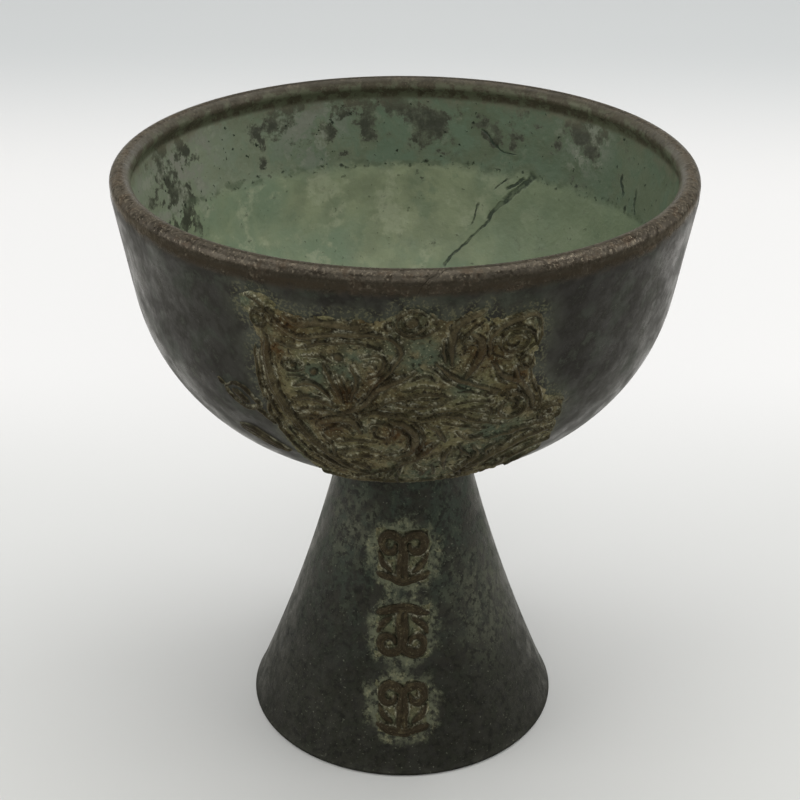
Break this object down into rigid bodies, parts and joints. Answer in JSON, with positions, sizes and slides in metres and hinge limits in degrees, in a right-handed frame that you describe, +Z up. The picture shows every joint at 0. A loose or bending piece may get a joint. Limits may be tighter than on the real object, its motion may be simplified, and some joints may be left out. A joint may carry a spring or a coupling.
{
  "type": "footed wine cup",
  "caption": "Small cast bronze cup: deep round bowl with a rolled lip on a hollow trumpet foot, with a low dragon relief on its front.",
  "frame": {"origin": "centre of the foot's base, on the surface that the cup stands on", "axes": "+Z up along the cup's axis, the dragon relief faces -Y, +X to the right when looking at the relief"},
  "size_m": [0.075, 0.075, 0.0827],
  "materials": {
    "bowl_bronze": "dark patinated cast bronze, worn brown on the lip, olive inside",
    "foot_bronze": "dark patinated cast bronze with olive and green patches",
    "relief_bronze": "brown cast bronze with grey-green corrosion in the recesses",
    "braze_metal": "brass filler metal, tarnished"
  },
  "bodies": {
    "root": {"bowl": "bowl_bronze", "foot": "foot_bronze", "braze_ring": "braze_metal", "dragon_relief": "relief_bronze", "foot_ornament_lower": "relief_bronze", "foot_ornament_middle": "relief_bronze", "foot_ornament_upper": "relief_bronze"}
  },
  "joints": []
}
